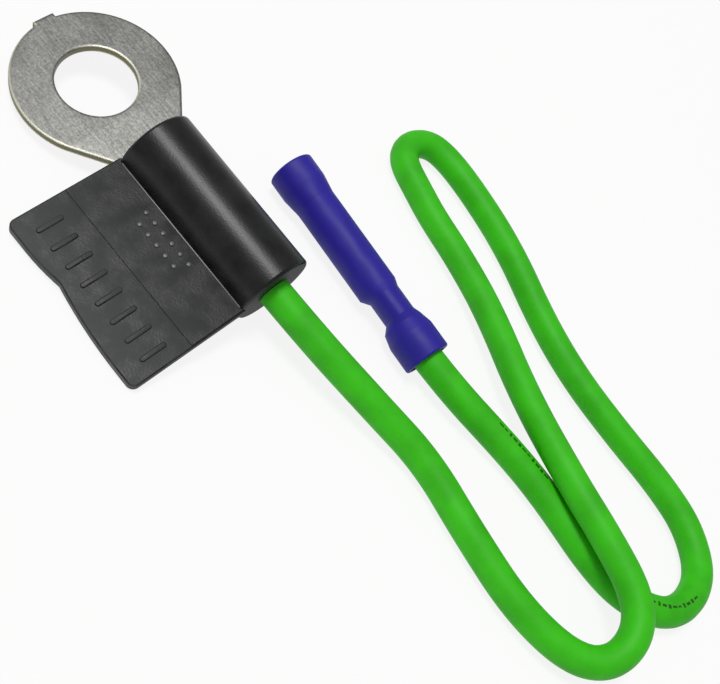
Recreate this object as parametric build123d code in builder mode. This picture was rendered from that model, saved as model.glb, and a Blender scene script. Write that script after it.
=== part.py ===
"""A fusible link lead: a ring terminal in a moulded flag insulator, an insulated wire that lies
in three loops, and a butt splice crimped on its end with the other mouth free.

The lead lies on a flat surface at z = 0. The moulding rests on its barrel and on the outer edge
of its flag, so the moulding and the ring lean towards -Y. +X runs along the moulding's barrel,
from the ring to the wire."""

from build123d import *
from math import asin, atan2, cos, degrees, hypot, pi, radians, sin, tan
import os

os.makedirs("parts", exist_ok=True)

# Driving dimensions, in millimetres and degrees.

# Fits between pieces, measured on the radius or the face.
moulding_fit = 0.01
core_fit = 0.02
sleeve_fit = 0.02

# Ring terminal, stamped and rolled from one plated sheet.
stud_hole_diameter = 8.3
ring_diameter = 17.0
sheet_thickness = 0.8
ring_reach = 8.9
bend_reach = 4.1
tongue_droop = 3.0
neck_width = 7.8
neck_drop = 0.45
nib_width = 2.4
nib_height = 0.3
stamped_edge = 0.1
neck_taper_length = 4.0
crimp_start = 5.0
crimp_length = 7.5
crimp_seam = 0.2

# Moulded insulator: a barrel with a flag along one side.
barrel_diameter = 8.7
barrel_length = 19.0
barrel_edge = 0.35
flag_start = -0.28
flag_length = 19.4
flag_thickness = 1.25
flag_height = 0.8
flag_reach = 17.52
flag_ring_end_step = 0.52
flag_notch_depth = 0.94
flag_notch_place = 7.2
flag_bow_start = 2.8
flag_bow_end = 17.3
flag_corner = 0.8
flag_edge = 0.2
pad_reach = 10.5
pad_height = 0.12

# Wire: a stranded core, drawn as one round bar, inside its insulation.
core_diameter = 1.9
jacket_diameter = 3.4
core_tip = 4.5
jacket_buried = 4.0

# Butt splice: a metal barrel with a centre stop, inside an insulating sleeve.
splice_length = 25.5
sleeve_diameter = 4.55
bell_wall = 0.52
wire_bell_diameter = 5.3
wire_bell_length = 3.1
free_bell_diameter = 5.2
free_bell_length = 2.6
free_bell_taper = 2.2
bell_lip = 0.25
bell_shoulder = 1.5
splice_barrel_inset = 4.6
splice_barrel_bore = 2.3
splice_barrel_wall = 0.5
splice_stop = 0.8
core_stop_gap = 0.4
jacket_in_splice = 4.0
pinch_barrel_wall = 0.4
pinch_sleeve_wall = 0.4
pinch_spread = 0.6
pinch_dent = 0.1
pinch_run_in = 0.75
pinch_length = 2.9
pinch_run_out = 0.9
pinch_turn = -38.0

# The lie of the splice: the middle of its wire-side mouth, and where its free mouth points.
splice_mouth_x = 33.0
splice_mouth_y = 15.9
splice_heading = 174.7
splice_clearance = 0.03

# The wire's route between the moulding and the splice, chosen by hand: x, y, z of each point.
exit_run = 5.0
entry_run = 2.5
bend_share = 0.45
route = [
    (33.5, 6.35, 2.65),
    (41.0, 7.7, 1.72),
    (49.0, 6.05, 1.72),
    (57.5, 4.8, 1.72),
    (64.7, 5.7, 2.1),
    (67.8, 8.4, 3.2),
    (67.6, 12.35, 4.6),
    (64.65, 15.0, 5.4),
    (58.1, 16.85, 5.4),
    (52.5, 18.4, 5.0),
    (42.85, 22.6, 3.5),
    (33.5, 27.9, 2.5),
    (26.5, 30.5, 1.9),
    (20.5, 31.7, 1.72),
    (16.85, 32.8, 1.72),
    (13.0, 34.0, 1.72),
    (11.65, 36.15, 1.72),
    (12.05, 38.7, 1.72),
    (14.0, 40.4, 1.72),
    (19.2, 40.4, 1.72),
    (28.6, 38.6, 1.72),
    (38.0, 34.6, 1.72),
    (45.5, 32.7, 1.72),
    (53.5, 32.15, 1.72),
    (60.5, 32.1, 1.72),
    (66.45, 31.05, 1.72),
    (71.0, 27.0, 1.72),
    (70.8, 20.6, 1.72),
    (66.3, 17.0, 1.72),
    (61.0, 16.1, 1.72),
    (52.6, 17.25, 1.72),
    (46.5, 17.4, 1.72),
]

# Sizes that follow from the ones above.
barrel_radius = barrel_diameter / 2
ring_radius = ring_diameter / 2
core_radius = core_diameter / 2
jacket_radius = jacket_diameter / 2
core_bore_radius = core_radius + core_fit
crimp_radius = core_bore_radius + sheet_thickness
crimp_end = crimp_start + crimp_length
flag_end = flag_start + flag_length
flag_ring_end_reach = flag_reach - flag_ring_end_step
flag_notch_reach = flag_reach - flag_notch_depth
flag_beside_neck = neck_width / 2 + moulding_fit
jacket_start = barrel_length - jacket_buried
flag_bottom = flag_height - flag_thickness
splice_barrel_radius = splice_barrel_bore / 2 + splice_barrel_wall
sleeve_bore_radius = splice_barrel_radius + sleeve_fit
wire_bell_radius = wire_bell_diameter / 2
free_bell_radius = free_bell_diameter / 2
splice_barrel_end = splice_length - splice_barrel_inset
stop_face = splice_length / 2 - splice_stop / 2
pinch_start = splice_barrel_inset + pinch_run_in
pinch_end = pinch_start + pinch_length
pinch_close = pinch_end + pinch_run_out

# The lean that puts the barrel and the flag's rounded lower edge on the same surface.
edge_reach = flag_reach - flag_edge
edge_drop = -flag_bottom - flag_edge
lean = degrees(
    asin((barrel_radius - flag_edge) / hypot(edge_reach, edge_drop)) - atan2(edge_drop, edge_reach)
)

# The origin is on the surface, under the middle of the ring and the moulding.
droop = radians(tongue_droop)
tongue_length = ring_reach - bend_reach + ring_radius + nib_height
terminal_reach = bend_reach + tongue_length * cos(droop)
ring_bottom = neck_drop + (ring_reach - bend_reach) * sin(droop) + sheet_thickness * cos(droop)
back_y = ring_radius * cos(radians(lean)) + ring_bottom * sin(radians(lean))
front_y = flag_edge + edge_reach * cos(radians(lean))
front_y += (flag_height - pad_height - flag_edge) * sin(radians(lean))
seat_x = (terminal_reach - barrel_length) / 2
seat_y = (front_y - back_y) / 2

# The moulding's plane has its origin on the barrel's axis, in the end face beside the ring.
seat = Plane(origin=(seat_x, seat_y, barrel_radius)).rotated((lean, 0, 0))
section = Plane(origin=seat.origin, x_dir=seat.y_dir, z_dir=seat.x_dir)
outward = Axis(seat.origin, seat.y_dir)
lengthwise = Axis(seat.origin, seat.x_dir)

# The neck's top face, and the tongue's, which is turned down about the bend.
neck = seat.offset(-neck_drop)
bend_point = neck.from_local_coords((-bend_reach, 0, 0))
bend_axis = Axis(bend_point, seat.y_dir)
tongue = Plane(
    origin=bend_point,
    x_dir=seat.x_dir.rotate(bend_axis, -tongue_droop),
    z_dir=seat.z_dir.rotate(bend_axis, -tongue_droop),
)

# The splice's planes have their origin in its wire-side mouth, with x along its axis. In the
# section plane, x is the direction that the crimping tool closed in.
splice_axis_z = max(wire_bell_radius, free_bell_radius) + splice_clearance
splice = Plane(
    origin=(splice_mouth_x, splice_mouth_y, splice_axis_z),
    x_dir=(cos(radians(splice_heading)), sin(radians(splice_heading)), 0),
)
splice_axis = Axis(splice.origin, splice.x_dir)
splice_lengthwise = Plane(origin=splice.origin, x_dir=splice.x_dir, z_dir=-splice.y_dir)
splice_section = Plane(
    origin=splice.origin,
    x_dir=splice.y_dir.rotate(splice_axis, pinch_turn),
    z_dir=splice.x_dir,
)


def disc(plane, station, radius):
    """A circle at a station along the normal of a section plane."""
    with BuildSketch(plane.offset(station)) as outline:
        Circle(radius)
    return outline.sketch


def oval(station, half_height, half_width, dent):
    """An ellipse across the splice, flattened in the crimping direction and more on one side."""
    with BuildSketch(splice_section.offset(station)) as outline:
        with Locations((-dent, 0)):
            Ellipse(half_height, half_width)
    return outline.sketch


def splice_profile(corners, lip, shoulder):
    """Half a lengthwise section of the splice's sleeve, from corners of station and radius. The
    corner at its mouth is rounded as a lip, and the one where the bell ends as a shoulder."""
    with BuildSketch(splice_lengthwise) as outline:
        with BuildLine():
            Polyline(*corners, close=True)
        make_face()
        fillet(outline.vertices().sort_by_distance(Vector(*lip))[0], bell_lip)
        fillet(outline.vertices().sort_by_distance(Vector(*shoulder))[0], bell_shoulder)
    return outline.sketch


def pinch(round_radius, half_height, half_width, dent, mode=Mode.ADD):
    """The crimped stretch of one layer of the splice, from round to flattened and back."""
    opening = disc(splice_section, splice_barrel_inset, round_radius)
    closing = disc(splice_section, pinch_close, round_radius)
    loft([opening, oval(pinch_start, half_height, half_width, dent)], mode=mode)
    extrude(oval(pinch_start, half_height, half_width, dent), amount=pinch_length, mode=mode)
    loft([oval(pinch_end, half_height, half_width, dent), closing], mode=mode)


def blade(plane, ring_x):
    """The flat ring and its neck, before the bend: a circle with straight sides to the moulding."""
    with BuildSketch(plane) as outline:
        with Locations((ring_x, 0)):
            Circle(ring_radius)
        with Locations((ring_x + ring_reach, 0)):
            Rectangle(sheet_thickness, neck_width, align=(Align.MAX, Align.CENTER))
        make_hull()
        with Locations((ring_x - ring_radius, 0)):
            Rectangle(2 * nib_height, nib_width)
        with Locations((ring_x, 0)):
            Circle(stud_hole_diameter / 2, mode=Mode.SUBTRACT)
    return outline.sketch


def neck_root(growth=0.0):
    """The sheet inside the moulding, which narrows from the end face to the rolled barrel."""
    half_mouth = neck_width / 2 + growth
    half_root = crimp_radius + growth
    root_end = crimp_start + crimp_radius
    with BuildSketch(neck.offset(growth)) as outline:
        with BuildLine():
            Polyline(
                (0, -half_mouth),
                (neck_taper_length, -half_root),
                (root_end, -half_root),
                (root_end, half_root),
                (neck_taper_length, half_root),
                (0, half_mouth),
                close=True,
            )
        make_face()
    return outline.sketch


def wire_points(start, end):
    """The route from a station on the moulding's axis to one on the splice's axis."""
    first = seat.from_local_coords((start, 0, 0))
    leaving = seat.from_local_coords((barrel_length + exit_run, 0, 0))
    entering = splice.from_local_coords((-entry_run, 0, 0))
    last = splice.from_local_coords((end, 0, 0))
    return [first, leaving] + [Vector(*point) for point in route] + [entering, last]


def bend_radii(points):
    """The largest radius at each point that leaves its neighbours room for theirs."""
    radii = []
    for before, here, after in zip(points, points[1:], points[2:]):
        shorter = min((here - before).length, (after - here).length)
        half_turn = radians((here - before).get_angle(after - here)) / 2
        radii.append(bend_share * shorter / tan(half_turn))
    return radii


# Ring terminal: the tongue and the neck have the same flat outline, each cut at the bend.
with BuildPart() as ring_terminal:
    extrude(blade(tongue, bend_reach - ring_reach), amount=-sheet_thickness)
    split(bisect_by=Plane(origin=bend_point, z_dir=seat.x_dir), keep=Keep.BOTTOM)
    with BuildPart(mode=Mode.PRIVATE) as neck_sheet:
        extrude(blade(neck, -ring_reach), amount=-sheet_thickness)
        split(bisect_by=Plane(origin=bend_point, z_dir=seat.x_dir), keep=Keep.TOP)
    add(neck_sheet.part)
    tongue_face = ring_terminal.faces().filter_by(tongue).sort_by(Axis(tongue.origin, tongue.z_dir))[-1]
    neck_face = ring_terminal.faces().filter_by(neck).sort_by(Axis(neck.origin, neck.z_dir))[-1]
    rim = tongue_face.edges() + neck_face.edges() - ring_terminal.edges().filter_by(outward)
    nib_sides = rim.sort_by(lengthwise)[:2]
    chamfer(rim - nib_sides, stamped_edge)
    extrude(neck_root(), amount=-sheet_thickness)
    extrude(disc(section, crimp_start, crimp_radius), amount=crimp_length)
    extrude(
        disc(section, neck_taper_length, core_bore_radius),
        amount=crimp_end - neck_taper_length,
        mode=Mode.SUBTRACT,
    )
    with BuildSketch(seat):
        with Locations((crimp_start, 0)):
            Rectangle(crimp_length, crimp_seam, align=(Align.MIN, Align.CENTER))
    extrude(amount=crimp_radius, mode=Mode.SUBTRACT)
ring_terminal.part.label = "ring_terminal"
export_step(ring_terminal.part, "parts/ring_terminal.step")

# Moulded insulator, cast round the neck, the rolled barrel and the wire's end.
with BuildPart() as moulding:
    extrude(disc(section, 0, barrel_radius), amount=barrel_length)
    fillet(moulding.edges().filter_by(GeomType.CIRCLE), barrel_edge)
    with BuildPart(mode=Mode.PRIVATE) as flag:
        with BuildSketch(seat.offset(flag_height - pad_height)) as flag_outline:
            with BuildLine():
                Polyline(
                    (flag_notch_place, 0),
                    (barrel_edge, 0),
                    (barrel_edge, -flag_beside_neck),
                    (flag_start, -flag_beside_neck),
                    (flag_start, -flag_ring_end_reach),
                    (flag_bow_start, -flag_ring_end_reach),
                )
                TangentArc(
                    (flag_bow_start, -flag_ring_end_reach),
                    (flag_notch_place, -flag_notch_reach),
                    tangent=(1, 0),
                )
                TangentArc(
                    (flag_bow_end, -flag_reach),
                    (flag_notch_place, -flag_notch_reach),
                    tangent=(-1, 0),
                )
                Polyline(
                    (flag_bow_end, -flag_reach),
                    (flag_end, -flag_reach),
                    (flag_end, -flag_beside_neck),
                    (barrel_length - barrel_edge, -flag_beside_neck),
                    (barrel_length - barrel_edge, 0),
                    (flag_notch_place, 0),
                )
            make_face()
            outer_corners = flag_outline.vertices().sort_by(Axis.Y)[:5].sort_by(Axis.X)
            fillet([outer_corners[0], outer_corners[-1]], flag_corner)
        extrude(amount=pad_height - flag_thickness)
        buried_face = flag.faces().sort_by(outward)[-1]
        fillet(flag.edges().filter_by(seat) - buried_face.edges(), flag_edge)
        with BuildSketch(seat.offset(flag_height - pad_height)):
            with Locations((flag_start + flag_length / 2, -flag_beside_neck)):
                Rectangle(
                    flag_length - 2 * flag_edge,
                    pad_reach - flag_beside_neck,
                    align=(Align.CENTER, Align.MAX),
                )
        extrude(amount=pad_height)
    add(flag.part)
    extrude(neck_root(moulding_fit), amount=-sheet_thickness - 2 * moulding_fit, mode=Mode.SUBTRACT)
    extrude(
        disc(section, crimp_start, crimp_radius + moulding_fit),
        amount=crimp_length + moulding_fit,
        mode=Mode.SUBTRACT,
    )
    extrude(
        disc(section, core_tip - moulding_fit, core_bore_radius),
        amount=jacket_start - core_tip + moulding_fit,
        mode=Mode.SUBTRACT,
    )
    extrude(
        disc(section, jacket_start - moulding_fit, jacket_radius + moulding_fit),
        amount=jacket_buried + 2 * moulding_fit,
        mode=Mode.SUBTRACT,
    )
moulding.part.label = "moulding"
export_step(moulding.part, "parts/moulding.step")

# Wire: both tubes follow one path, and the core runs on, straight, into each crimp.
radii = bend_radii(wire_points(jacket_start, jacket_in_splice))
jacket_path = FilletPolyline(*wire_points(jacket_start, jacket_in_splice), radius=radii)
core_path = FilletPolyline(*wire_points(core_tip, stop_face - core_stop_gap), radius=radii)

with BuildPart() as wire_jacket:
    sweep(disc(section, jacket_start, jacket_radius), path=jacket_path)
    sweep(disc(section, jacket_start, core_bore_radius), path=jacket_path, mode=Mode.SUBTRACT)
wire_jacket.part.label = "wire_jacket"
export_step(wire_jacket.part, "parts/wire_jacket.step")

with BuildPart() as wire_conductor:
    sweep(disc(section, core_tip, core_radius), path=core_path)
wire_conductor.part.label = "wire_conductor"
export_step(wire_conductor.part, "parts/wire_conductor.step")

# Splice barrel: a tube with a stop in the middle, pinched on the wire's side.
with BuildPart() as splice_barrel:
    pinch(
        splice_barrel_radius,
        core_bore_radius + pinch_barrel_wall,
        splice_barrel_bore / 2 + pinch_spread / 2 + splice_barrel_wall,
        pinch_dent,
    )
    extrude(
        disc(splice_section, pinch_close, splice_barrel_radius),
        amount=splice_barrel_end - pinch_close,
    )
    pinch(
        splice_barrel_bore / 2,
        core_bore_radius,
        splice_barrel_bore / 2 + pinch_spread / 2,
        dent=0,
        mode=Mode.SUBTRACT,
    )
    extrude(
        disc(splice_section, pinch_close, splice_barrel_bore / 2),
        amount=stop_face - pinch_close,
        mode=Mode.SUBTRACT,
    )
    extrude(
        disc(splice_section, stop_face + splice_stop, splice_barrel_bore / 2),
        amount=splice_barrel_end - stop_face - splice_stop,
        mode=Mode.SUBTRACT,
    )
splice_barrel.part.label = "splice_barrel"
export_step(splice_barrel.part, "parts/splice_barrel.step")

# Splice sleeve: a bell at each end, and over the barrel the same pinch, one wall further out.
with BuildPart() as splice_sleeve:
    wire_bell = splice_profile(
        [
            (0, wire_bell_radius - bell_wall),
            (0, wire_bell_radius),
            (wire_bell_length, wire_bell_radius),
            (splice_barrel_inset, sleeve_diameter / 2),
            (splice_barrel_inset, sleeve_bore_radius),
            (wire_bell_length, wire_bell_radius - bell_wall),
        ],
        lip=(0, wire_bell_radius),
        shoulder=(wire_bell_length, wire_bell_radius),
    )
    revolve(wire_bell, axis=splice_axis)
    free_bell_start = splice_length - free_bell_length
    tube = splice_profile(
        [
            (pinch_close, sleeve_bore_radius),
            (pinch_close, sleeve_diameter / 2),
            (free_bell_start - free_bell_taper, sleeve_diameter / 2),
            (free_bell_start, free_bell_radius),
            (splice_length, free_bell_radius),
            (splice_length, free_bell_radius - bell_wall),
            (free_bell_start, free_bell_radius - bell_wall),
            (splice_barrel_end, sleeve_bore_radius),
        ],
        lip=(splice_length, free_bell_radius),
        shoulder=(free_bell_start, free_bell_radius),
    )
    revolve(tube, axis=splice_axis)
    pinch(
        sleeve_diameter / 2,
        core_bore_radius + pinch_barrel_wall + sleeve_fit + pinch_sleeve_wall,
        splice_barrel_bore / 2 + pinch_spread / 2 + splice_barrel_wall + sleeve_fit + bell_wall,
        2 * pinch_dent,
    )
    pinch(
        sleeve_bore_radius,
        core_bore_radius + pinch_barrel_wall + sleeve_fit,
        splice_barrel_bore / 2 + pinch_spread / 2 + splice_barrel_wall + sleeve_fit,
        pinch_dent,
        mode=Mode.SUBTRACT,
    )
splice_sleeve.part.label = "splice_sleeve"
export_step(splice_sleeve.part, "parts/splice_sleeve.step")

print("bend radii:", " ".join(f"{radius:.1f}" for radius in radii))
print("length of the jacket:", round(jacket_path.length, 2))
shell = pi * (jacket_radius**2 - core_bore_radius**2)
print("jacket volume over section times length:", wire_jacket.part.volume / shell / jacket_path.length)
print("lean:", round(lean, 3), "seat:", seat.origin)
ring_middle = tongue.from_local_coords((bend_reach - ring_reach, 0, -sheet_thickness / 2))
print("stud hole:", ring_middle, tongue.z_dir)
mouth_middle = splice.from_local_coords(((stop_face + splice_stop + splice_barrel_end) / 2, 0, 0))
print("splice mouth:", mouth_middle, splice.x_dir, splice_barrel_end - stop_face - splice_stop)
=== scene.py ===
"""Dresses a fusible link lead for its picture: a plated ring terminal in a black moulded flag, a
green wire that lies in three loops, and a blue butt splice. All lengths are in metres."""

from math import cos, pi, radians, sin, sqrt

import bmesh
import bpy
from bpy.props import FloatProperty, FloatVectorProperty, IntProperty, PointerProperty
from mathutils import Matrix, Vector


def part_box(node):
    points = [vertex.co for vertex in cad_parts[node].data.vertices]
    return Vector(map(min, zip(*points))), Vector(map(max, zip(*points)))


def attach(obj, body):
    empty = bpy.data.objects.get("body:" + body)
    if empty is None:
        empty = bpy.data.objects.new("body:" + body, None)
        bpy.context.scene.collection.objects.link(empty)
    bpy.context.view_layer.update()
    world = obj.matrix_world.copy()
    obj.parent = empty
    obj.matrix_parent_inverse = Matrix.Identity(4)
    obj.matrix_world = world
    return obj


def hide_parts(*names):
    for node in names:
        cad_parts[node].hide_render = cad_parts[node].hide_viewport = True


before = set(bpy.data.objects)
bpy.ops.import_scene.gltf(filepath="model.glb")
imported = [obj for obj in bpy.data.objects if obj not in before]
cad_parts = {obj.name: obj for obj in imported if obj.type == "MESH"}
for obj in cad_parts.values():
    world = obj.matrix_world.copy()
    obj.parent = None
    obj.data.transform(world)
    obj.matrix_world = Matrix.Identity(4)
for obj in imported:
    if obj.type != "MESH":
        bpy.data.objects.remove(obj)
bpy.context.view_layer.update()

bl_info = {
    "name": "Fusible Link Lead",
    "version": (1, 0, 0),
    "blender": (4, 5, 0),
    "location": "3D View > Sidebar > Fusible Link",
    "description": "Finishes a fusible link lead with a ring terminal, a flag and a butt splice",
    "category": "Object",
}

MM = 0.001
MOULDING_LOW, MOULDING_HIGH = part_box("moulding")

# The moulding's barrel fills its box upwards and towards +Y, so its axis follows from the box.
BARREL_RADIUS = MOULDING_HIGH.z / 2
BARREL_AXIS_Y = MOULDING_HIGH.y - BARREL_RADIUS
FLAG_BEFORE_BARREL = 0.28 * MM
FLAG_BEYOND_BARREL = 0.12 * MM
MOULDING_ORIGIN = Vector((MOULDING_LOW.x + FLAG_BEFORE_BARREL, BARREL_AXIS_Y, BARREL_RADIUS))
WIRE_EXIT = (MOULDING_HIGH.x - FLAG_BEYOND_BARREL, BARREL_AXIS_Y, BARREL_RADIUS)

# How high the flag's two faces lie above the barrel's axis: the raised pad beside the barrel, which
# carries the pips, and the rest, which carries the ribs.
PAD_FACE = 0.8 * MM
RIB_FACE = 0.68 * MM

# Where the raised marks lie: how far along the barrel from its ring end the middle of each row is,
# and how far out from the barrel's axis.
RIBS_MIDDLE = 9.65 * MM
RIBS_REACH = 13.8 * MM
PIPS_MIDDLE = 9.1 * MM
PIP_ROW_REACHES = (5.6 * MM, 6.9 * MM)

# The mould's seam stops short of each end of the barrel.
SEAM_END_GAP = 0.4 * MM

# A pip's length and height, as shares of its width.
PIP_LENGTH_SHARE = 1.02
PIP_HEIGHT_SHARE = 0.3

# The softened top of a raised mark: at each share of its height, its share of the full width.
MARK_PROFILE = ((0.0, 1.0), (0.65, 0.93), (0.92, 0.8), (1.0, 0.58))
HALF_ROUND_STEPS = 8

# The wire's route, from its end inside the moulding to its end inside the splice.
WIRE_ROUTE = [
    (0.01434, 0.00428, 0.00435),
    (0.02334, 0.00428, 0.00435),
    (0.0335, 0.00635, 0.00265),
    (0.041, 0.0077, 0.00172),
    (0.049, 0.00605, 0.00172),
    (0.0575, 0.0048, 0.00172),
    (0.0647, 0.0057, 0.0021),
    (0.0678, 0.0084, 0.0032),
    (0.0676, 0.01235, 0.0046),
    (0.06465, 0.015, 0.0054),
    (0.0581, 0.01685, 0.0054),
    (0.0525, 0.0184, 0.005),
    (0.04285, 0.0226, 0.0035),
    (0.0335, 0.0279, 0.0025),
    (0.0265, 0.0305, 0.0019),
    (0.0205, 0.0317, 0.00172),
    (0.01685, 0.0328, 0.00172),
    (0.013, 0.034, 0.00172),
    (0.01165, 0.03615, 0.00172),
    (0.01205, 0.0387, 0.00172),
    (0.014, 0.0404, 0.00172),
    (0.0192, 0.0404, 0.00172),
    (0.0286, 0.0386, 0.00172),
    (0.038, 0.0346, 0.00172),
    (0.0455, 0.0327, 0.00172),
    (0.0535, 0.03215, 0.00172),
    (0.0605, 0.0321, 0.00172),
    (0.06645, 0.03105, 0.00172),
    (0.071, 0.027, 0.00172),
    (0.0708, 0.0206, 0.00172),
    (0.0663, 0.017, 0.00172),
    (0.061, 0.0161, 0.00172),
    (0.0526, 0.01725, 0.00172),
    (0.0465, 0.0174, 0.00172),
    (0.03549, 0.01567, 0.00268),
    (0.02902, 0.01627, 0.00268),
]

# Where each run of printed dashes starts along the wire, and the side of the wire that it is on.
PRINTED_RUNS = (
    (0.1885, Vector((-0.07, 0.03, 1.0))),
    (0.2124, Vector((0.02, 0.18, 0.98))),
)

# The dashes are uneven: each has its own share of the full length and width, over and over.
DASH_SHARES = ((1.0, 0.45), (0.6, 0.9), (0.9, 0.6), (0.45, 1.0), (0.75, 0.4))

# A dash follows the wire's skin in this many steps each way, just above it.
DASH_STEPS = 4
INK_THICKNESS = 0.006 * MM

# The middle of a noise's range, which most of its values fill. Stretched, it gives strong clouds.
CLOUD_SPAN = {"From Min": 0.38, "From Max": 0.62}

# How much x, y and z count in a metal's scratches, which are drawn out along x.
ROLLED_ALONG_X = (0.08, 1.0, 1.0)
DRAWN_ALONG_X = (0.1, 1.0, 1.0)

# Where the softbox hangs, and the spot that it points at.
SOFTBOX_PLACE = Vector((-0.135, -0.083, 0.595))
SOFTBOX_AIM = Vector((0.02, 0.01, 0.0))

# How much of the floor's look is plain white. The rest takes the lead's shadow.
WHITE_SHARE = 0.86
WHITE = (1.0, 1.0, 1.0, 1.0)


def linear(hex_colour):
    """An sRGB hex colour as the linear red, green and blue that a shader works in."""
    levels = [int(hex_colour[start:start + 2], 16) / 255 for start in (1, 3, 5)]
    return [v / 12.92 if v <= 0.04045 else ((v + 0.055) / 1.055) ** 2.4 for v in levels]


def colour_property(name, description, hex_colour):
    """A colour that a user can change, given as sRGB hex."""
    return FloatVectorProperty(
        name=name, description=description, subtype="COLOR", size=3,
        min=0.0, max=1.0, default=linear(hex_colour),
    )


def length_property(name, description, millimetres):
    """A length that a user can change, given in millimetres."""
    return FloatProperty(
        name=name, description=description, unit="LENGTH", subtype="DISTANCE",
        min=0.0, default=millimetres * MM,
    )


class WireSettings(bpy.types.PropertyGroup):
    """Sizes and colours of the insulated wire and of the marks printed on it."""

    diameter: length_property("Diameter", "Outside diameter of the insulation", 3.4)
    laid_length: length_property("Length", "Length of the insulation, end to end", 234.2)
    colour: colour_property("Insulation", "Colour of the insulation", "#38C00D")
    ink: colour_property("Ink", "Colour of the printed dashes", "#1D5A0E")
    dash_length: length_property("Dash length", "Length of the longest printed dash", 0.62)
    dash_width: length_property("Dash width", "Width of the widest printed dash, round the wire", 0.5)
    dash_pitch: length_property("Dash pitch", "Distance from one dash to the next", 0.72)
    dashes: IntProperty(name="Dashes", description="Dashes in one printed run", min=1, default=11)


class MouldingSettings(bpy.types.PropertyGroup):
    """Sizes and colours of the moulded flag and of the raised marks on it."""

    lean: FloatProperty(
        name="Lean", description="How far the flag hangs down from level",
        unit="ROTATION", subtype="ANGLE", default=radians(13.035),
    )
    colour: colour_property("Elastomer", "Colour of the moulding", "#191B1A")
    # The colour of the highlight painted on the raised seam and pips.
    painted_highlight: colour_property("Highlight", "Colour of the highlight painted on the seam and the pips", "#5A5D5B")
    rib_length: length_property("Rib length", "Length of a raised rib, across the flag", 3.0)
    rib_width: length_property("Rib width", "Width of a raised rib", 0.55)
    rib_height: length_property("Rib height", "Height of the ribs above the flag", 0.16)
    rib_pitch: length_property("Rib pitch", "Distance from one rib to the next", 2.2)
    ribs: IntProperty(name="Ribs", description="Number of raised ribs", min=1, default=8)
    seam_width: length_property("Seam width", "Width of the mould's seam beside the barrel", 0.22)
    pip_width: length_property("Pip width", "Width of a raised pip", 0.5)
    pip_pitch: length_property("Pip pitch", "Distance from one pip to the next", 1.3)
    pips: IntProperty(name="Pips", description="Raised pips in the inner row", min=2, default=6)


class MetalSettings(bpy.types.PropertyGroup):
    """Colours of the bare and plated metals."""

    tin: colour_property("Tin plate", "Colour of the plated ring", "#898985")
    # The colour of a highlight painted on the ring's rims where they face the flag's side.
    rim: colour_property("Rim highlight", "Colour of the highlight painted on the ring's rims", "#EDEBD6")
    wall: colour_property("Sheared wall", "Colour of the ring's cut walls", "#6E6C54")
    bright_tin: colour_property("Bright tin", "Colour of the splice's barrel", "#C9C8C4")
    copper: colour_property("Copper", "Colour of the wire's core", "#D08A62")


class SleeveSettings(bpy.types.PropertyGroup):
    """Colour of the splice's sleeve."""

    colour: colour_property("Sleeve", "Colour of the insulating sleeve", "#261B99")


class StageSettings(bpy.types.PropertyGroup):
    """Floor, light and camera."""

    floor_colour: colour_property("Floor", "Colour of the surface under the lead", "#F6F6F4")
    floor_width: length_property("Floor width", "Side of the square floor", 12000)
    world_strength: FloatProperty(
        name="World", description="Strength of the room's light", default=0.38,
    )
    backdrop: FloatProperty(
        name="Backdrop", description="How white the room looks past the floor's edge", default=0.915,
    )
    key_power: FloatProperty(
        name="Key", description="Power of the softbox overhead", unit="POWER", default=2.1,
    )
    key_size: length_property("Key size", "Side of the square softbox", 170)
    camera_azimuth: FloatProperty(
        name="Azimuth", description="Turn of the view to the left of +Y",
        unit="ROTATION", subtype="ANGLE", default=radians(5.85),
    )
    camera_elevation: FloatProperty(
        name="Elevation", description="Height of the camera above level",
        unit="ROTATION", subtype="ANGLE", default=radians(49.01),
    )
    camera_roll: FloatProperty(
        name="Roll", description="Turn of the camera about its own view",
        unit="ROTATION", subtype="ANGLE", default=radians(46.07),
    )
    camera_place: FloatVectorProperty(
        name="Place", description="Where the camera stands", unit="LENGTH", size=3,
        default=(0.03479, -0.0632, 0.08755),
    )
    lens: FloatProperty(name="Lens", description="Focal length in millimetres", default=55.0)


def new_material(name):
    """A node material with its surface shader."""
    material = bpy.data.materials.new(name)
    material.use_nodes = True
    return material, material.node_tree.nodes["Principled BSDF"]


def fill(material, node, inputs):
    """Fills a node's inputs with values or with other nodes' outputs."""
    for name, value in inputs.items():
        if isinstance(value, bpy.types.NodeSocket):
            material.node_tree.links.new(value, node.inputs[name])
        else:
            node.inputs[name].default_value = value


def add_node(material, kind, inputs=None, **settings):
    """Adds a node to a material or a world, with its settings, and fills its inputs."""
    node = material.node_tree.nodes.new(kind)
    for name, value in settings.items():
        setattr(node, name, value)
    fill(material, node, inputs or {})
    return node


def dress(node_name, material):
    """Gives a piece of the frame its material."""
    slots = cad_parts[node_name].data.materials
    slots.clear()
    slots.append(material)


def object_place(material):
    """Coordinates fixed to the object, in metres."""
    return add_node(material, "ShaderNodeTexCoord").outputs["Object"]


def object_facing(material):
    """The surface's direction, fixed to the object, as separate x, y and z."""
    facing = add_node(material, "ShaderNodeTexCoord").outputs["Normal"]
    return add_node(material, "ShaderNodeSeparateXYZ", {"Vector": facing}).outputs


def on_moulding(lean):
    """The moulding's own axes: x along its barrel, -y along its flag, z out of the flag's face."""
    return Matrix.Translation(MOULDING_ORIGIN) @ Matrix.Rotation(lean, 4, "X")


def mesh_object(name, mesh_data, material):
    """A mesh with its material, as an object of the scene."""
    mesh = bpy.data.meshes.new(name)
    mesh_data.to_mesh(mesh)
    mesh_data.free()
    mesh.materials.append(material)
    made = bpy.data.objects.new(name, mesh)
    bpy.context.scene.collection.objects.link(made)
    return made


def add_piece(name, mesh_data, material):
    """A smooth-shaded piece on the lead's one body."""
    piece = mesh_object(name, mesh_data, material)
    for polygon in piece.data.polygons:
        polygon.use_smooth = True
    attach(piece, "root")
    return piece


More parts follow.
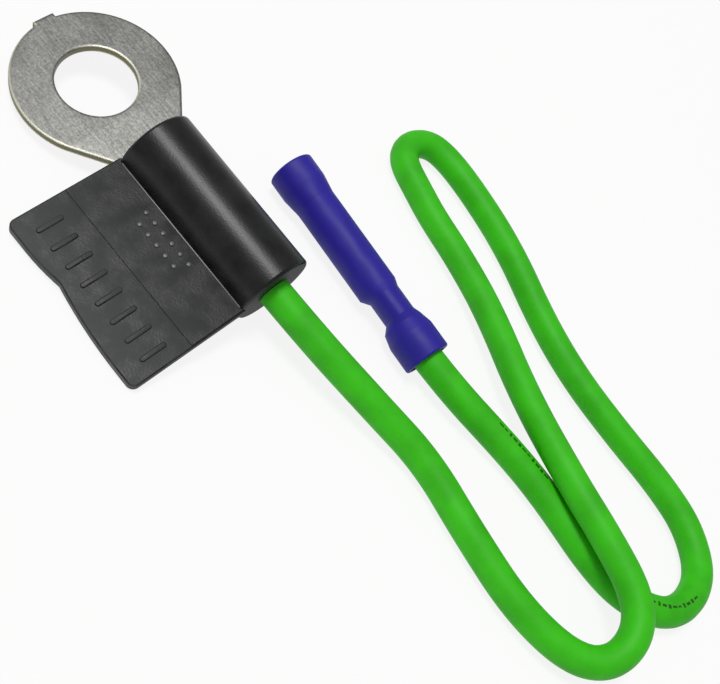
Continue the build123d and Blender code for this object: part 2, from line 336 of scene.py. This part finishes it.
def shade(colour, factor):
    """A colour made darker or lighter, as the RGBA that a node takes."""
    return (*[min(1.0, factor * level) for level in colour], 1.0)


def extruded_polyethylene(colour):
    """Cross-linked polyethylene, extruded over the strands: green with faint patches, 4 mm wide, a
    waxy, broad shine and a slight waviness, 0.5 mm wide, where the strands push through."""
    material, shader = new_material("extruded_polyethylene")
    place = object_place(material)
    cloud = add_node(
        material, "ShaderNodeTexNoise", {"Vector": place, "Scale": 1 / (4 * MM), "Detail": 4.0})
    patchy = add_node(
        material, "ShaderNodeMapRange",
        {"Value": cloud.outputs["Fac"], "From Min": 0.36, "From Max": 0.64})
    tint = add_node(
        material, "ShaderNodeMix",
        {"Factor": patchy.outputs["Result"], "A": shade(colour, 0.88), "B": shade(colour, 1.1)},
        data_type="RGBA")
    skin = add_node(
        material, "ShaderNodeTexNoise", {"Vector": place, "Scale": 1 / (0.5 * MM), "Detail": 3.0})
    bump = add_node(
        material, "ShaderNodeBump",
        {"Height": skin.outputs["Fac"], "Strength": 0.25, "Distance": 0.02 * MM})
    fill(material, shader, {
        "Base Color": tint.outputs["Result"], "Normal": bump.outputs["Normal"],
        "Roughness": 0.55, "IOR": 1.5, "Specular IOR Level": 0.3,
    })
    return material


def plasticised_vinyl(colour):
    """Soft PVC, moulded as a thin tube: saturated blue and smooth, with shallow dents, 2.5 mm wide,
    from the crimping tool and from handling, which break up its soft shine."""
    material, shader = new_material("plasticised_vinyl")
    place = object_place(material)
    cloud = add_node(
        material, "ShaderNodeTexNoise", {"Vector": place, "Scale": 1 / (3 * MM), "Detail": 3.0})
    tint = add_node(
        material, "ShaderNodeMix",
        {"Factor": cloud.outputs["Fac"], "A": shade(colour, 0.82), "B": shade(colour, 1.15)},
        data_type="RGBA")
    gloss = add_node(
        material, "ShaderNodeMapRange",
        {"Value": cloud.outputs["Fac"], "To Min": 0.46, "To Max": 0.62})
    dents = add_node(
        material, "ShaderNodeTexNoise", {"Vector": place, "Scale": 1 / (2.5 * MM), "Detail": 0.0})
    dented = add_node(
        material, "ShaderNodeBump",
        {"Height": dents.outputs["Fac"], "Strength": 0.5, "Distance": 0.45 * MM})
    skin = add_node(
        material, "ShaderNodeTexNoise", {"Vector": place, "Scale": 1 / (0.8 * MM), "Detail": 4.0})
    bump = add_node(
        material, "ShaderNodeBump",
        {"Height": skin.outputs["Fac"], "Strength": 0.35, "Distance": 0.05 * MM,
         "Normal": dented.outputs["Normal"]})
    fill(material, shader, {
        "Base Color": tint.outputs["Result"], "Normal": bump.outputs["Normal"],
        "Roughness": gloss.outputs["Result"], "IOR": 1.53, "Specular IOR Level": 0.32,
    })
    return material


def moulded_elastomer(colour):
    """Thermoplastic elastomer, black, from a mould whose flag side is spark-eroded and whose
    barrel side is turned: the flag is dull and grained, with painted shade that darkens it beside
    the barrel and fades towards its outer edge, where it is lighter; the barrel carries a satin
    streak, and its end faces are dull. The grain is 0.22 mm wide, about twice the real one, so
    that it shows."""
    material, shader = new_material("moulded_elastomer")
    place = object_place(material)
    across = add_node(material, "ShaderNodeSeparateXYZ", {"Vector": place})
    on_barrel = add_node(
        material, "ShaderNodeMapRange",
        {"Value": across.outputs["Y"], "From Min": BARREL_AXIS_Y - 1.05 * BARREL_RADIUS,
         "From Max": BARREL_AXIS_Y - 0.93 * BARREL_RADIUS})
    cloud = add_node(
        material, "ShaderNodeTexNoise",
        {"Vector": place, "Scale": 1 / (2.5 * MM), "Detail": 5.0, "Roughness": 0.6})
    # Painted shade: the flag's colour is darkest beside the barrel and lightens towards the flag's
    # outer edge.
    shade_beside_barrel = add_node(
        material, "ShaderNodeMapRange",
        {"Value": across.outputs["Y"], "From Min": BARREL_AXIS_Y - 1.1 * BARREL_RADIUS,
         "From Max": MOULDING_LOW.y, "To Min": 0.5, "To Max": 3.2})
    cloudy = add_node(
        material, "ShaderNodeMapRange",
        {"Value": cloud.outputs["Fac"], **CLOUD_SPAN, "To Min": 0.3, "To Max": 1.7})
    tone = add_node(
        material, "ShaderNodeMath", {0: shade_beside_barrel.outputs["Result"], 1: cloudy.outputs["Result"]},
        operation="MULTIPLY")
    tint = add_node(
        material, "ShaderNodeVectorMath", {0: colour, "Scale": tone.outputs[0]}, operation="SCALE")
    bruised = add_node(
        material, "ShaderNodeMapRange",
        {"Value": cloud.outputs["Fac"], **CLOUD_SPAN, "To Min": 0.4, "To Max": 0.66})
    gloss = add_node(
        material, "ShaderNodeMapRange",
        {"Value": on_barrel.outputs["Result"], "To Min": bruised.outputs["Result"], "To Max": 0.36})
    along = add_node(
        material, "ShaderNodeMath", {0: object_facing(material)["X"]}, operation="ABSOLUTE")
    endwise = add_node(
        material, "ShaderNodeMath", {0: along.outputs[0], 1: 0.9}, operation="GREATER_THAN")
    dulled = add_node(
        material, "ShaderNodeMapRange",
        {"Value": endwise.outputs[0], "To Min": gloss.outputs["Result"], "To Max": 0.62})
    grain = add_node(
        material, "ShaderNodeTexNoise", {"Vector": place, "Scale": 1 / (0.22 * MM), "Detail": 2.0})
    depth = add_node(
        material, "ShaderNodeMapRange",
        {"Value": on_barrel.outputs["Result"], "To Min": 0.55, "To Max": 0.42})
    bump = add_node(
        material, "ShaderNodeBump",
        {"Height": grain.outputs["Fac"], "Strength": depth.outputs["Result"], "Distance": 0.03 * MM})
    fill(material, shader, {
        "Base Color": tint.outputs["Vector"], "Normal": bump.outputs["Normal"],
        "Roughness": dulled.outputs["Result"], "IOR": 1.5, "Specular IOR Level": 0.38,
    })
    return material


def highlit_elastomer(colour):
    """The same elastomer where it stands proud, on the seam and the pips, with a painted highlight:
    its colour is a patchy grey, and it is shinier than the faces round it."""
    material, shader = new_material("highlit_elastomer")
    highlight_patches = add_node(
        material, "ShaderNodeTexNoise",
        {"Vector": object_place(material), "Scale": 1 / (0.8 * MM), "Detail": 3.0})
    tint = add_node(
        material, "ShaderNodeMix",
        {"Factor": highlight_patches.outputs["Fac"], "A": shade(colour, 0.5), "B": shade(colour, 1.6)},
        data_type="RGBA")
    fill(material, shader, {"Base Color": tint.outputs["Result"], "Roughness": 0.34, "IOR": 1.5})
    return material


def rolled_metal(name, colour, rim_highlight_colour, wall_colour, roughness, drawn_along):
    """Rolled or drawn metal, such as the ring's tin-plated sheet: the marks of rolling run one way
    as fine scratches, the surface has a frosty grain, and handling has left soft blotches. The
    stamped edges are rolled over by 0.38 mm, and carry a painted highlight in a bright colour
    where they face the flag's side.
    The sheared walls below them show the duller bare metal. The scratches, 0.16 mm apart, and the
    grain of 0.24 mm are coarser than the real ones, so that they show."""
    material, shader = new_material(name)
    place = object_place(material)
    stretched = add_node(
        material, "ShaderNodeMapping", {"Vector": place, "Scale": drawn_along}, vector_type="POINT")
    scratches = add_node(
        material, "ShaderNodeTexNoise",
        {"Vector": stretched.outputs["Vector"], "Scale": 1 / (0.16 * MM), "Detail": 3.0,
         "Roughness": 0.7})
    frost = add_node(
        material, "ShaderNodeTexNoise", {"Vector": place, "Scale": 1 / (0.24 * MM), "Detail": 3.0})
    blotches = add_node(
        material, "ShaderNodeTexNoise", {"Vector": place, "Scale": 1 / (3.5 * MM), "Detail": 4.0})
    marks = add_node(
        material, "ShaderNodeMath", {0: scratches.outputs["Fac"], 1: frost.outputs["Fac"]},
        operation="MULTIPLY")
    tone = add_node(
        material, "ShaderNodeMapRange",
        {"Value": marks.outputs[0], "From Min": 0.1, "From Max": 0.42, "To Min": 0.56, "To Max": 1.44})
    worn = add_node(
        material, "ShaderNodeMix",
        {"Factor": blotches.outputs["Fac"], "A": shade(colour, 0.74), "B": shade(colour, 1.24)},
        data_type="RGBA")
    plate = add_node(
        material, "ShaderNodeVectorMath", {0: worn.outputs["Result"], "Scale": tone.outputs["Result"]},
        operation="SCALE")
    rolled = add_node(material, "ShaderNodeBevel", {"Radius": 0.38 * MM}, samples=12)
    facing = add_node(
        material, "ShaderNodeVectorTransform", {"Vector": rolled.outputs["Normal"]},
        vector_type="NORMAL", convert_from="WORLD", convert_to="OBJECT")
    faced = add_node(material, "ShaderNodeSeparateXYZ", {"Vector": facing.outputs["Vector"]}).outputs
    flatness = add_node(material, "ShaderNodeMath", {0: faced["Z"]}, operation="ABSOLUTE")
    off_face = add_node(
        material, "ShaderNodeMapRange",
        {"Value": flatness.outputs[0], "From Min": 0.93, "From Max": 0.88})
    flag_side = add_node(
        material, "ShaderNodeMapRange", {"Value": faced["Y"], "From Min": -0.2, "From Max": -0.45})
    # Painted highlight: the rolled rims that face the flag's side take the bright rim colour.
    painted_highlight = add_node(
        material, "ShaderNodeMath", {0: off_face.outputs["Result"], 1: flag_side.outputs["Result"]},
        operation="MULTIPLY")
    off_rim = add_node(
        material, "ShaderNodeMapRange",
        {"Value": flatness.outputs[0], "From Min": 0.45, "From Max": 0.35})
    rim = add_node(
        material, "ShaderNodeMix",
        {"Factor": painted_highlight.outputs[0], "A": plate.outputs["Vector"], "B": shade(rim_highlight_colour, 1.0)},
        data_type="RGBA")
    tint = add_node(
        material, "ShaderNodeMix",
        {"Factor": off_rim.outputs["Result"], "A": rim.outputs["Result"], "B": shade(wall_colour, 1.0)},
        data_type="RGBA")
    gloss = add_node(
        material, "ShaderNodeMapRange",
        {"Value": blotches.outputs["Fac"], "To Min": roughness - 0.06, "To Max": roughness + 0.1})
    bump = add_node(
        material, "ShaderNodeBump",
        {"Height": marks.outputs[0], "Strength": 0.3, "Distance": 0.02 * MM,
         "Normal": rolled.outputs["Normal"]})
    fill(material, shader, {
        "Base Color": tint.outputs["Result"], "Normal": bump.outputs["Normal"],
        "Roughness": gloss.outputs["Result"], "Metallic": 1.0,
    })
    return material


def printing_ink(colour):
    """Ink-jet marks on the insulation: thin, dark and dull."""
    material, shader = new_material("printing_ink")
    speckle = add_node(
        material, "ShaderNodeTexNoise",
        {"Vector": object_place(material), "Scale": 1 / (0.3 * MM), "Detail": 2.0})
    tint = add_node(
        material, "ShaderNodeMix",
        {"Factor": speckle.outputs["Fac"], "A": shade(colour, 0.6), "B": shade(colour, 1.5)},
        data_type="RGBA")
    fill(material, shader, {
        "Base Color": tint.outputs["Result"], "Roughness": 0.6, "Specular IOR Level": 0.3,
    })
    return material


def smooth_line(cord):
    """The points that a cord's smooth line passes through, read before the cord has thickness."""
    line = bpy.data.meshes.new_from_object(cord)
    points = [vertex.co.copy() for vertex in line.vertices]
    bpy.data.meshes.remove(line)
    return points


def station(points, distance):
    """The place and direction of a line at a distance along it."""
    for here, there in zip(points, points[1:]):
        step = (there - here).length
        if distance <= step:
            return here.lerp(there, distance / step), (there - here).normalized()
        distance -= step
    raise RuntimeError("the station lies past the end of the wire")


def add_dash(mesh, points, middle, facing, length, width, radius):
    """A curved patch on the wire's skin, on the side that faces a direction."""
    shares = [step / DASH_STEPS - 0.5 for step in range(DASH_STEPS + 1)]
    angles = [share * width / radius for share in shares]
    rows = []
    for share in shares:
        place, along = station(points, middle + share * length)
        outward = (facing - along * facing.dot(along)).normalized()
        sideways = along.cross(outward)
        row = []
        for angle in angles:
            skin = place + radius * (outward * cos(angle) + sideways * sin(angle))
            row.append(mesh.verts.new(skin))
        rows.append(row)
    for near, far in zip(rows, rows[1:]):
        for side in range(DASH_STEPS):
            mesh.faces.new((near[side], near[side + 1], far[side + 1], far[side]))


def spread(middle, count, pitch):
    """Places along a line, one pitch apart and centred on its middle."""
    first = middle - (count - 1) * pitch / 2
    return [first + index * pitch for index in range(count)]


def add_rounded_bar(mesh, place, length, width, height):
    """A raised bar with half-round ends and a softened top, standing on the plane of place. Its
    length runs along y."""
    half_straight = (length - width) / 2
    rims = []
    for level, share in MARK_PROFILE:
        rim = []
        for end in (1, -1):
            for step in range(HALF_ROUND_STEPS + 1):
                angle = pi * step / HALF_ROUND_STEPS
                x = end * cos(angle) * share * width / 2
                y = end * (half_straight + sin(angle) * share * width / 2)
                rim.append(mesh.verts.new(place @ Vector((x, y, level * height))))
        rims.append(rim)
    for lower, upper in zip(rims, rims[1:]):
        for index in range(len(lower)):
            after = (index + 1) % len(lower)
            mesh.faces.new((lower[index], lower[after], upper[after], upper[index]))
    mesh.faces.new(rims[-1])
    mesh.faces.new(reversed(rims[0]))


def white_card(colour):
    """Matt white card. The camera and what reflects it see most of it as plain white, and the rest
    shows the lead's own soft shadow."""
    material, shader = new_material("white_card")
    fill(material, shader, {"Base Color": shade(colour, 1.0), "Roughness": 0.9})
    path = add_node(material, "ShaderNodeLightPath")
    seen = add_node(
        material, "ShaderNodeMath",
        {0: path.outputs["Is Camera Ray"], 1: path.outputs["Is Glossy Ray"]},
        operation="ADD", use_clamp=True)
    share = add_node(
        material, "ShaderNodeMath", {0: seen.outputs[0], 1: WHITE_SHARE}, operation="MULTIPLY")
    white = add_node(material, "ShaderNodeEmission", {"Color": WHITE, "Strength": 1.0})
    mixed = add_node(
        material, "ShaderNodeMixShader",
        {0: share.outputs[0], 1: shader.outputs[0], 2: white.outputs[0]})
    output = material.node_tree.nodes["Material Output"]
    fill(material, output, {"Surface": mixed.outputs[0]})
    return material


class LEAD_OT_wire(bpy.types.Operator):
    """Lay the insulated wire along its route"""

    bl_idname = "lead.wire"
    bl_label = "Wire"

    def execute(self, context):
        settings = context.scene.lead_wire
        wire = self.lay_route(context)
        points = smooth_line(wire)
        self.thicken(wire.data, settings)
        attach(wire, "root")
        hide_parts("wire_jacket")
        print_marks = self.print_dashes(settings, points)
        return {"FINISHED"}

    def lay_route(self, context):
        """The wire as a smooth line without thickness, led by its route's points."""
        curve = bpy.data.curves.new("wire", "CURVE")
        curve.dimensions = "3D"
        spline = curve.splines.new("NURBS")
        spline.points.add(len(WIRE_ROUTE) - 1)
        for point, place in zip(spline.points, WIRE_ROUTE):
            point.co = (*place, 1.0)
        spline.order_u = 3
        spline.use_endpoint_u = True
        curve.resolution_u = 10
        wire = bpy.data.objects.new("wire", curve)
        context.scene.collection.objects.link(wire)
        return wire

    def thicken(self, curve, settings):
        """Gives the line its round insulation."""
        curve.bevel_depth = settings.diameter / 2
        curve.bevel_resolution = 9
        curve.use_fill_caps = True
        curve.materials.append(extruded_polyethylene(settings.colour))

    def print_dashes(self, settings, points):
        """Two short runs of plain printed dashes, each on the side of the wire that shows them."""
        mesh = bmesh.new()
        radius = settings.diameter / 2 + INK_THICKNESS
        for start, facing in PRINTED_RUNS:
            for dash in range(settings.dashes):
                length_share, width_share = DASH_SHARES[dash % len(DASH_SHARES)]
                middle = start + dash * settings.dash_pitch
                length = settings.dash_length * length_share
                width = settings.dash_width * width_share
                add_dash(mesh, points, middle, facing, length, width, radius)
        return add_piece("wire_print", mesh, printing_ink(settings.ink))


class LEAD_OT_moulding(bpy.types.Operator):
    """Finish the moulded flag and add its raised ribs and pips"""

    bl_idname = "lead.moulding"
    bl_label = "Moulding"

    def execute(self, context):
        settings = context.scene.lead_moulding
        rubber = moulded_elastomer(settings.colour)
        dress("moulding", rubber)
        axes = on_moulding(settings.lean)
        ribs = bmesh.new()
        self.add_ribs(ribs, axes, settings)
        add_piece("flag_ribs", ribs, rubber)
        proud = bmesh.new()
        self.add_pips(proud, axes, settings)
        self.add_seam(proud, axes, settings)
        # The seam and the pips are painted grey as a highlight.
        add_piece("flag_pips", proud, highlit_elastomer(settings.painted_highlight))
        return {"FINISHED"}

    def add_ribs(self, mesh, axes, settings):
        """A row of ribs along the flag's outer part, each one across the flag."""
        length, width, height = settings.rib_length, settings.rib_width, settings.rib_height
        for along in spread(RIBS_MIDDLE, settings.ribs, settings.rib_pitch):
            spot = Matrix.Translation((along, -RIBS_REACH, RIB_FACE))
            add_rounded_bar(mesh, axes @ spot, length, width, height)

    def add_pips(self, mesh, axes, settings):
        """Two rows of small pips on the flag's pad. The outer row has one fewer, and its pips lie
        between those of the inner row."""
        width = settings.pip_width
        length, height = PIP_LENGTH_SHARE * width, PIP_HEIGHT_SHARE * width
        for row, reach in enumerate(PIP_ROW_REACHES):
            for along in spread(PIPS_MIDDLE, settings.pips - row, settings.pip_pitch):
                spot = Matrix.Translation((along, -reach, PAD_FACE))
                add_rounded_bar(mesh, axes @ spot, length, width, height)

    def add_seam(self, mesh, axes, settings):
        """The fine seam of the mould, where the flag's face meets the barrel."""
        reach = sqrt(BARREL_RADIUS ** 2 - PAD_FACE ** 2)
        barrel_length = WIRE_EXIT[0] - MOULDING_ORIGIN.x
        middle = Matrix.Translation((barrel_length / 2, -reach, PAD_FACE))
        width = settings.seam_width
        add_rounded_bar(
            mesh, axes @ middle @ Matrix.Rotation(pi / 2, 4, "Z"),
            barrel_length - 2 * SEAM_END_GAP, width, width / 2)


class LEAD_OT_metals(bpy.types.Operator):
    """Finish the ring terminal, the splice's barrel and the wire's core"""

    bl_idname = "lead.metals"
    bl_label = "Metals"

    def execute(self, context):
        settings = context.scene.lead_metals
        # The ring's rims carry a painted highlight in the rim colour.
        ring = rolled_metal(
            "tinned_sheet", settings.tin, settings.rim, settings.wall, 0.4, ROLLED_ALONG_X)
        dress("ring_terminal", ring)
        dress("splice_barrel", self.drawn_metal("tinned_tube", settings.bright_tin, 0.28))
        dress("wire_conductor", self.drawn_metal("drawn_copper", settings.copper, 0.3))
        return {"FINISHED"}

    def drawn_metal(self, name, colour, roughness):
        """Metal drawn to its shape, without worn rims or cut walls of another colour."""
        return rolled_metal(name, colour, colour, colour, roughness, DRAWN_ALONG_X)


class LEAD_OT_sleeve(bpy.types.Operator):
    """Finish the splice's insulating sleeve"""

    bl_idname = "lead.sleeve"
    bl_label = "Sleeve"

    def execute(self, context):
        dress("splice_sleeve", plasticised_vinyl(context.scene.lead_sleeve.colour))
        return {"FINISHED"}


class LEAD_OT_stage(bpy.types.Operator):
    """Set the floor, the light and the camera"""

    bl_idname = "lead.stage"
    bl_label = "Stage"

    def execute(self, context):
        settings = context.scene.lead_stage
        self.add_floor(settings)
        self.add_room_light(context, settings)
        self.add_softbox(context, settings)
        self.add_camera(context, settings)
        context.scene.view_settings.view_transform = "Standard"
        return {"FINISHED"}

    def add_floor(self, settings):
        """A plain pale surface under the lead."""
        mesh = bmesh.new()
        bmesh.ops.create_grid(mesh, x_segments=1, y_segments=1, size=settings.floor_width / 2)
        floor = mesh_object("floor", mesh, white_card(settings.floor_colour))

    def add_room_light(self, context, settings):
        """Even light from the room, which the camera sees as white as the far floor."""
        world = bpy.data.worlds.new("room")
        world.use_nodes = True
        path = add_node(world, "ShaderNodeLightPath")
        strength = add_node(
            world, "ShaderNodeMapRange",
            {"Value": path.outputs["Is Camera Ray"],
             "To Min": settings.world_strength, "To Max": settings.backdrop})
        background = world.node_tree.nodes["Background"]
        fill(world, background, {"Color": WHITE, "Strength": strength.outputs["Result"]})
        context.scene.world = world

    def add_softbox(self, context, settings):
        """The key light, a square softbox nearly overhead."""
        lamp = bpy.data.lights.new("softbox", "AREA")
        lamp.size = settings.key_size
        lamp.energy = settings.key_power
        softbox = bpy.data.objects.new("softbox", lamp)
        softbox.location = SOFTBOX_PLACE
        aim = SOFTBOX_AIM - SOFTBOX_PLACE
        softbox.rotation_euler = aim.to_track_quat("-Z", "Y").to_euler()
        context.scene.collection.objects.link(softbox)

    def add_camera(self, context, settings):
        """The camera stands above the near side and is rolled, so that the barrel runs down to
        the right in the picture."""
        camera = bpy.data.cameras.new("camera")
        camera.lens = settings.lens
        camera.sensor_width = 36.0
        camera.clip_start = 5 * MM
        viewpoint = bpy.data.objects.new("camera", camera)
        turn = Matrix.Rotation(settings.camera_azimuth, 4, "Z")
        tilt = Matrix.Rotation(pi / 2 - settings.camera_elevation, 4, "X")
        roll = Matrix.Rotation(settings.camera_roll, 4, "Z")
        viewpoint.matrix_world = Matrix.Translation(settings.camera_place) @ turn @ tilt @ roll
        context.scene.collection.objects.link(viewpoint)
        context.scene.camera = viewpoint


class LEAD_PT_panel(bpy.types.Panel):
    """Sizes and colours of the lead, and the steps that dress it"""

    bl_idname = "LEAD_PT_panel"
    bl_label = "Fusible Link Lead"
    bl_space_type = "VIEW_3D"
    bl_region_type = "UI"
    bl_category = "Fusible Link"

    def draw(self, context):
        for operator, group in STEPS:
            box = self.layout.box()
            box.operator(operator.bl_idname)
            settings = getattr(context.scene, group)
            for name in settings.__annotations__:
                box.prop(settings, name)


# Each step of the dressing, with the settings that it reads. The camera and the wire come first.
STEPS = (
    (LEAD_OT_stage, "lead_stage"),
    (LEAD_OT_wire, "lead_wire"),
    (LEAD_OT_moulding, "lead_moulding"),
    (LEAD_OT_metals, "lead_metals"),
    (LEAD_OT_sleeve, "lead_sleeve"),
)
GROUPS = {
    "lead_stage": StageSettings,
    "lead_wire": WireSettings,
    "lead_moulding": MouldingSettings,
    "lead_metals": MetalSettings,
    "lead_sleeve": SleeveSettings,
}


def register():
    for name, group in GROUPS.items():
        bpy.utils.register_class(group)
        setattr(bpy.types.Scene, name, PointerProperty(type=group))
    for operator, _ in STEPS:
        bpy.utils.register_class(operator)
    bpy.utils.register_class(LEAD_PT_panel)


def unregister():
    bpy.utils.unregister_class(LEAD_PT_panel)
    for operator, _ in reversed(STEPS):
        bpy.utils.unregister_class(operator)
    for name, group in reversed(GROUPS.items()):
        delattr(bpy.types.Scene, name)
        bpy.utils.unregister_class(group)


def main():
    """Dresses the lead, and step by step."""
    register()
    bpy.ops.lead.stage()
    bpy.ops.lead.wire()
    bpy.ops.lead.moulding()
    bpy.ops.lead.metals()
    bpy.ops.lead.sleeve()


if __name__ == "__main__":
    main()
